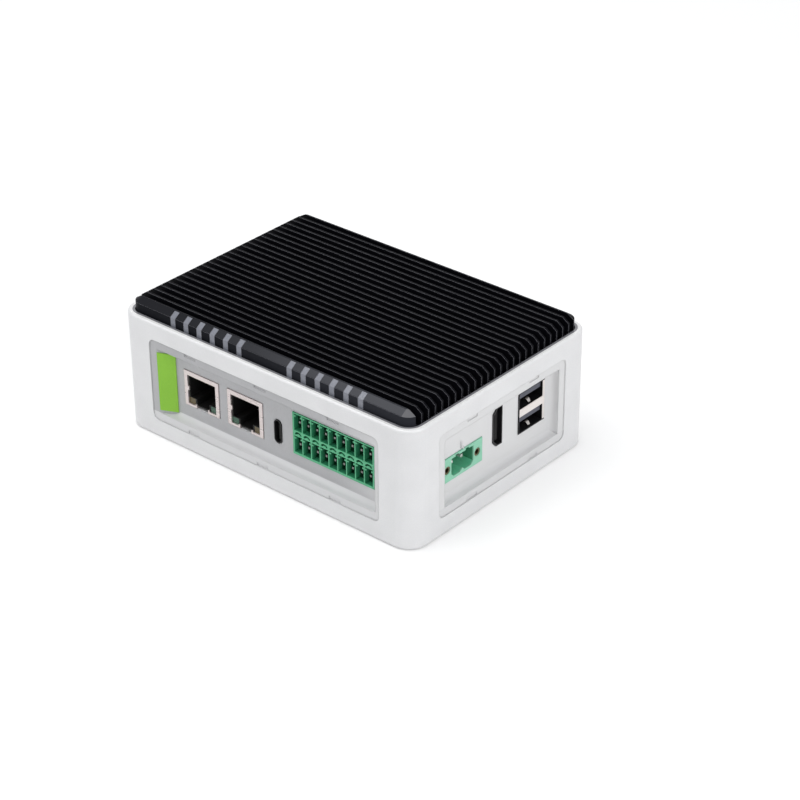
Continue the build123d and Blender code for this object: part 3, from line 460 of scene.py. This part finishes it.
def addSeal(side, node, settings, material):
    # a ring that closes the gap between a window and its insert
    low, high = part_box(node)
    middle = (low + high) / 2
    size = high - low
    alongX = size.x > size.y
    halfLength = (size.x if alongX else size.y) / 2 - settings["lap"]
    halfHeight = size.z / 2 - settings["lap"]
    outward = -1 if (middle.y if alongX else middle.x) < 0 else 1
    face = cadBounds[1].y if alongX else cadBounds[1].x
    rings = []
    for inset in (settings["clear"], settings["gap"] - settings["clear"]):
        rings.append(roundedOutline(halfLength - inset, halfHeight - inset,
                                    settings["radius"] - inset, settings["cornerSteps"]))
    points = []
    for depth in (settings["front"], settings["back"]):
        for ring in rings:
            for across, up in ring:
                place, height = outward * (face - depth), middle.z + up
                points.append((across, place, height) if alongX else (place, across, height))
    count = len(rings[0])
    # outlines 0 and 1 are the outer and inner one in front, 2 and 3 those at the back
    faces = []
    for index in range(count):
        after = (index + 1) % count
        for first, second in ((0, 1), (1, 3), (3, 2), (2, 0)):
            faces.append((first * count + index, first * count + after,
                          second * count + after, second * count + index))
    mesh = bpy.data.meshes.new("windowSeal" + side)
    mesh.from_pydata(points, [], faces)
    mesh.materials.append(material)
    form = bmesh.new()
    form.from_mesh(mesh)
    bmesh.ops.recalc_face_normals(form, faces=form.faces)
    form.to_mesh(mesh)
    form.free()
    seal = bpy.data.objects.new("windowSeal" + side, mesh)
    bpy.context.collection.objects.link(seal)
    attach(seal, "root")


sealMaterial = makeFinish("windowSeal", sealSettings["look"])
for side, node in sealSettings["windows"].items():
    addSeal(side, node, sealSettings, sealMaterial)
print("window seals added")

guideLook = {
    "nodes": ["light_guides_left", "light_guides_right"],
    "dark": (0.19, 0.20, 0.24), "light": (0.25, 0.26, 0.30), "rough": (0.18, 0.28),
    "grain": 1500.0, "relief": 0.05, "coat": 0.3, "milk": 0.2, "shine": 0.3, "edge": 0.00015,
}
dress("milkyGuide", guideLook)

labelLook = {
    "nodes": ["label_plate"],
    "dark": (0.225, 0.52, 0.024), "light": (0.27, 0.59, 0.034), "rough": (0.3, 0.4),
    "grain": 2500.0, "relief": 0.06, "edge": 0.0001,
}
dress("greenLabel", labelLook)

baseLook = {
    "nodes": ["base_plate", "thermal_block"],
    "dark": (0.44, 0.44, 0.45), "light": (0.55, 0.55, 0.56), "rough": (0.3, 0.45),
    "grain": 900.0, "stretch": (0.08, 1, 1), "relief": 0.2, "metal": 0.9, "edge": 0.0002,
}
dress("brushedBase", baseLook)

rubberLook = {
    "nodes": ["rubber_feet", "aerial_plugs"],
    "dark": (0.018, 0.018, 0.018), "light": (0.035, 0.035, 0.035), "rough": (0.7, 0.85),
    "grain": 3000.0, "relief": 0.3, "edge": 0.0002,
}
dress("softRubber", rubberLook)
print("enclosure dressed")


# sockets
shieldLook = {
    "nodes": ["network_shield_left", "network_shield_right"],
    "dark": (0.60, 0.53, 0.52), "light": (0.72, 0.65, 0.64), "rough": (0.22, 0.34),
    "grain": 1200.0, "stretch": (0.2, 1, 1), "relief": 0.08, "metal": 0.7, "edge": 0.00025,
}
dress("nickelShield", shieldLook)

# painted shade: the twin shield is darkened inside its ports and on its thin outer edges, where
# shade falls
twinLow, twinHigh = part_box("twin_shield")
shadedEdgeWidth = 0.00042           # at the bottom and the top
twinPaintedShade = {"colour": (0.012, 0.012, 0.014), "rough": 0.45}
twinLook = dict(
    shieldLook, nodes=["twin_shield"],
    dark=(0.78, 0.73, 0.70), light=(0.88, 0.83, 0.80), rough=(0.34, 0.44),
    relief=0.03, metal=0.45,
    regions=[
        dict(twinPaintedShade, x=(0.0, twinHigh.x - 0.0002)),
        dict(twinPaintedShade, y=(0.0, twinLow.y + 0.00036)),
        dict(twinPaintedShade, z=(0.0, twinLow.z + shadedEdgeWidth)),
        dict(twinPaintedShade, z=(twinHigh.z - shadedEdgeWidth, 0.05)),
    ])
dress("twinShield", twinLook)

# a sprung leaf on the floor of each port of the twin socket
leafSettings = {
    "width": 0.0015,
    "length": 0.0024,
    "rise": 0.0010,
    "thickness": 0.00015,
    "inset": 0.0010,         # behind the mouth
    "taper": 0.25,           # share of the width that is lost at the ends
    "steps": 12,
    "wall": 0.0004,          # of the shield
    "portHeight": 0.00595,
    "look": {"dark": (0.46, 0.44, 0.42), "light": (0.60, 0.57, 0.55), "rough": (0.2, 0.3),
             "grain": 2000.0, "relief": 0.05, "metal": 0.6, "edge": 0.00008},
}


def addPortLeaf(name, floorHeight, settings, material):
    middleY = (twinLow.y + twinHigh.y) / 2
    # one cut across the leaf: side and lift of its four corners in turn
    section = ((-1, 0), (1, 0), (1, settings["thickness"]), (-1, settings["thickness"]))
    form = bmesh.new()
    rows = []
    for step in range(settings["steps"] + 1):
        share = step / settings["steps"]
        arch = math.sin(math.pi * share)
        x = twinHigh.x - settings["inset"] - settings["length"] * share
        z = floorHeight + settings["rise"] * arch
        half = settings["width"] / 2 * (1 - settings["taper"] + settings["taper"] * arch)
        rows.append([form.verts.new((x, middleY + side * half, z + lift))
                     for side, lift in section])
    for before, after in zip(rows, rows[1:]):
        for index in range(len(section)):
            follow = (index + 1) % len(section)
            form.faces.new((before[index], before[follow], after[follow], after[index]))
    form.faces.new(rows[0])
    form.faces.new(rows[-1])
    bmesh.ops.recalc_face_normals(form, faces=form.faces)
    mesh = bpy.data.meshes.new(name)
    form.to_mesh(mesh)
    form.free()
    mesh.materials.append(material)
    leaf = bpy.data.objects.new(name, mesh)
    bpy.context.collection.objects.link(leaf)
    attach(leaf, "root")


leafMaterial = makeFinish("portLeaf", leafSettings["look"])
lowerFloor = twinLow.z + leafSettings["wall"]
upperFloor = twinHigh.z - leafSettings["wall"] - leafSettings["portHeight"]
addPortLeaf("portLeafLower", lowerFloor, leafSettings, leafMaterial)
addPortLeaf("portLeafUpper", upperFloor, leafSettings, leafMaterial)
print("port leaves added")

blackLook = {
    "nodes": ["network_insert_left", "network_insert_right", "service_tongue", "service_base",
              "display_tongue", "display_base", "twin_base", "module_connectors", "cell_holder"],
    "dark": (0.005, 0.005, 0.005), "light": (0.01, 0.01, 0.01), "rough": (0.45, 0.6),
    "grain": 2200.0, "relief": 0.15, "shine": 0.2, "edge": 0.00015,
}
dress("blackPlastic", blackLook)

shellLook = {
    "nodes": ["service_shell", "display_shell"],
    "dark": (0.010, 0.010, 0.011), "light": (0.016, 0.016, 0.017), "rough": (0.3, 0.4),
    "grain": 1500.0, "relief": 0.08, "shine": 0.25, "edge": 0.00015,
}
dress("darkShell", shellLook)

goldLook = {
    "nodes": ["network_contacts_left", "network_contacts_right", "twin_contacts"],
    "dark": (0.72, 0.55, 0.24), "light": (0.86, 0.7, 0.36), "rough": (0.15, 0.25),
    "grain": 2500.0, "relief": 0.05, "metal": 1.0, "edge": 0.00005,
}
dress("goldContact", goldLook)

amberLook = {
    "nodes": ["network_lamps_amber"],
    "dark": (0.07, 0.05, 0.015), "light": (0.12, 0.09, 0.03), "rough": (0.15, 0.25),
    "grain": 1200.0, "relief": 0.05, "coat": 0.3, "shine": 0.3, "edge": 0.0002,
}
dress("amberLamp", amberLook)

greenLampLook = dict(amberLook, nodes=["network_lamps_green"],
                     dark=(0.02, 0.075, 0.045), light=(0.03, 0.11, 0.065))
dress("greenLamp", greenLampLook)

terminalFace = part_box("terminal_block")[0].y
terminalLook = {
    "nodes": ["terminal_block"],
    "dark": (0.085, 0.43, 0.215), "light": (0.115, 0.51, 0.27), "rough": (0.35, 0.45),
    "grain": 2000.0, "relief": 0.08, "shine": 0.4, "edge": 0.00012,
    # painted shade: darker the deeper it lies behind the face
    "regions": [{"y": (terminalFace + 0.0002, 0.0), "colour": (0.046, 0.32, 0.16), "rough": 0.4},
                {"y": (terminalFace + 0.0021, 0.0), "colour": (0.014, 0.12, 0.058), "rough": 0.5},
                {"y": (terminalFace + 0.0048, 0.0), "colour": (0.002, 0.016, 0.008), "rough": 0.5}],
}
dress("terminalPlastic", terminalLook)

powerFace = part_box("power_header")[1].x
pocketDepths = (0.0, powerFace - 0.0005)
powerLook = {
    "nodes": ["power_header"],
    "dark": (0.27, 0.62, 0.44), "light": (0.33, 0.70, 0.51), "rough": (0.35, 0.45),
    "grain": 2000.0, "relief": 0.08, "milk": 0.1, "shine": 0.3, "edge": 0.00025,
    # painted shade inside the pocket, darker deeper in
    "regions": [{"x": pocketDepths, "colour": (0.07, 0.33, 0.18), "rough": 0.4},
                {"x": (0.0, powerFace - 0.0048), "colour": (0.035, 0.20, 0.105), "rough": 0.45},
                # painted light: the pocket's floor and the slopes of its ridge face up and are
                # lighter than its walls
                {"x": pocketDepths, "facing": (0.35, 1.1), "colour": (0.18, 0.68, 0.42),
                 "rough": 0.4}],
}
dress("mintPlastic", powerLook)

pinLook = {
    "nodes": ["terminal_pins"],
    "dark": (0.17, 0.17, 0.165), "light": (0.26, 0.26, 0.25), "rough": (0.2, 0.32),
    "grain": 1800.0, "relief": 0.05, "metal": 1.0, "edge": 0.0003,
}
dress("tinnedPin", pinLook)

powerPinLook = dict(pinLook, nodes=["power_pins"],
                    dark=(0.72, 0.72, 0.70), light=(0.86, 0.86, 0.84), metal=0.5)
dress("brightPin", powerPinLook)

insertLook = {
    "nodes": ["power_inserts", "board_standoffs", "module_spacers"],
    "dark": (0.14, 0.115, 0.06), "light": (0.26, 0.21, 0.12), "rough": (0.3, 0.4),
    "grain": 900.0, "stretch": (4, 1, 1), "relief": 0.3, "metal": 0.9, "edge": 0.0001,
}
dress("darkBrass", insertLook)

tongueLook = {
    "nodes": ["twin_tongues"],
    "dark": (0.05, 0.055, 0.08), "light": (0.075, 0.08, 0.11), "rough": (0.35, 0.45),
    "grain": 2000.0, "relief": 0.08, "edge": 0.00015,
}
dress("slateTongue", tongueLook)
print("sockets dressed")


# inner pieces
boardLook = {
    "nodes": ["main_board", "compute_module", "indicator_board"],
    "dark": (0.01, 0.09, 0.04), "light": (0.02, 0.14, 0.06), "rough": (0.3, 0.4),
    "grain": 1200.0, "relief": 0.1, "coat": 0.3,
}
dress("boardLacquer", boardLook)

steelLook = {
    "nodes": ["board_screws", "case_screws", "module_screws", "indicator_screws", "clock_cell",
              "capacitors", "processor"],
    "dark": (0.42, 0.42, 0.43), "light": (0.58, 0.58, 0.59), "rough": (0.25, 0.38),
    "grain": 1500.0, "relief": 0.1, "metal": 0.95, "edge": 0.0001,
}
dress("plainSteel", steelLook)

chipLook = dict(blackLook, nodes=["memory_chips", "power_coil"])
dress("chipBlack", chipLook)

padLook = {
    "nodes": ["thermal_pad", "indicator_lamps"],
    "dark": (0.36, 0.38, 0.42), "light": (0.46, 0.48, 0.52), "rough": (0.6, 0.7),
    "grain": 1800.0, "relief": 0.2,
}
dress("softPad", padLook)
print("inner pieces dressed")
